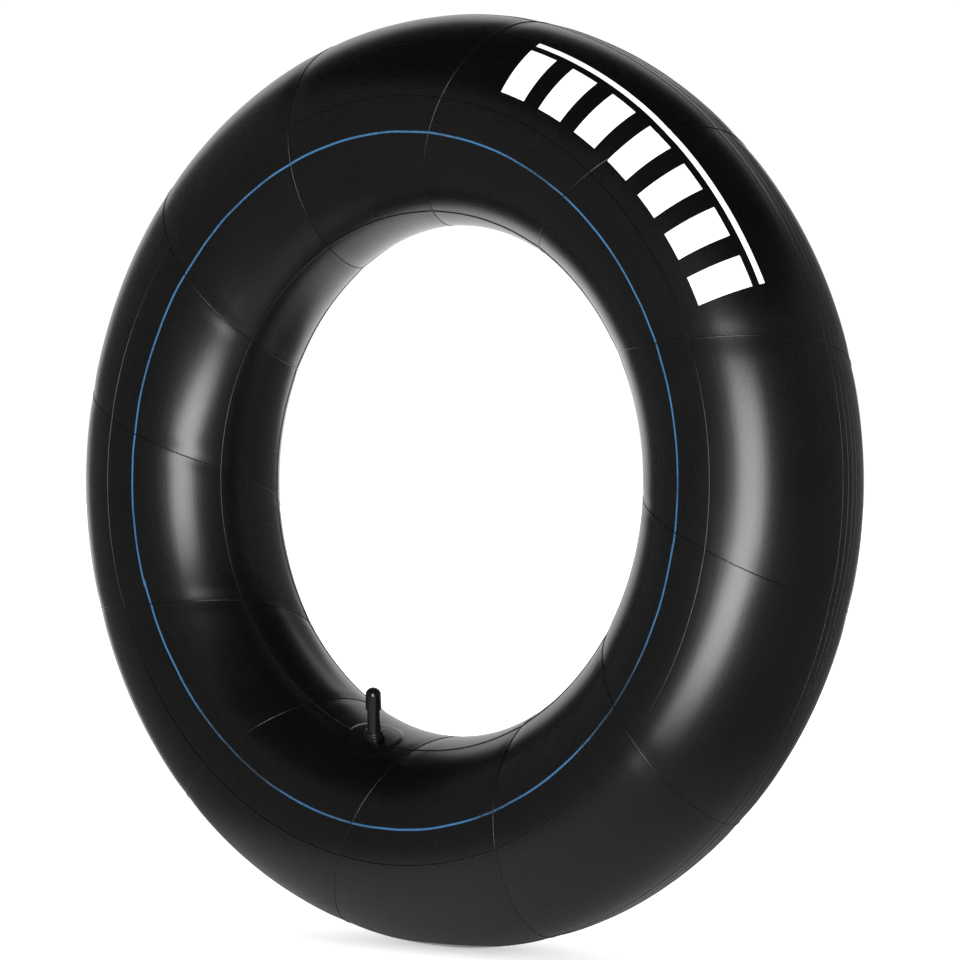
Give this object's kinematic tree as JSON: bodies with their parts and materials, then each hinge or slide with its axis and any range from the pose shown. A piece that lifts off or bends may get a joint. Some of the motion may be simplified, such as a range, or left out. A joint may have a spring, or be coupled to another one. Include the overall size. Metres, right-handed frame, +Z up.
{
  "type": "inner tube",
  "caption": "Inflated rubber inner tube for a small trailer wheel, with a rubber covered valve, screw cap and sprung valve core.",
  "frame": {"origin": "centre of the ring, on the ring axis, midway between its two sides", "axes": "+Y along the ring axis towards the back, +Z up with the ring standing on its crown, +X to the right seen from the front; the valve is near the bottom of the hole and leans to the front (-Y)"},
  "size_m": [0.5472, 0.117, 0.5472],
  "materials": {
    "butyl": "satin black butyl rubber with a faint bloom",
    "stripe_ink": "matte blue marking paint",
    "print_ink": "matte white marking paint",
    "valve_rubber": "semi-gloss black moulded rubber",
    "brass": "turned brass",
    "spring_steel": "drawn wire",
    "seal_rubber": "matte black",
    "core_gasket": "smooth red fluoropolymer",
    "cap_plastic": "glossy black moulded plastic"
  },
  "bodies": {
    "tube": {"tube_carcass": "butyl", "size_stripe": "stripe_ink", "print_marks": "print_ink", "valve_patch": "butyl", "stem_cover": "valve_rubber", "stem_insert": "brass"},
    "cap_seal": {"cap_gasket": "seal_rubber"},
    "cap": {"cap_shell": "cap_plastic"},
    "core_body": {"core_barrel": "brass", "core_gasket": "core_gasket", "core_spring": "spring_steel"},
    "core_head": {"core_plug": "brass"},
    "core_valve": {"core_pin": "brass", "core_cup": "brass", "core_seal": "seal_rubber"}
  },
  "joints": [
    {"name": "cap_lift", "type": "slide", "parent": "tube", "child": "cap_seal", "axis": [0.2294, -0.3173, 0.9202], "range_m": [0, 0.0113]},
    {"name": "cap_turn", "type": "hinge", "parent": "cap_seal", "child": "cap", "pos_m": [-0.03309, -0.03107, -0.13273], "axis": [0.2294, -0.3173, 0.9202], "range_deg": [0, 5130]},
    {"name": "core_lift", "type": "slide", "parent": "tube", "child": "core_body", "axis": [0.2294, -0.3173, 0.9202], "range_m": [0, 0.00071]},
    {"name": "core_turn", "type": "hinge", "parent": "core_body", "child": "core_head", "pos_m": [-0.03172, -0.03297, -0.12721], "axis": [0.2294, -0.3173, 0.9202], "range_deg": [0, 363]},
    {"name": "pin_press", "type": "slide", "parent": "core_body", "child": "core_valve", "axis": [-0.2294, 0.3173, -0.9202], "range_m": [0, 0.0015], "stiffness_N_per_m": 1500, "springref_m": -0.001, "deforming": ["core_spring"]}
  ],
  "couplings": [
    {"joint": "cap_turn", "follows": "cap_lift", "rad_per_m": 7913.3},
    {"joint": "core_turn", "follows": "core_lift", "rad_per_m": 8912.3}
  ]
}
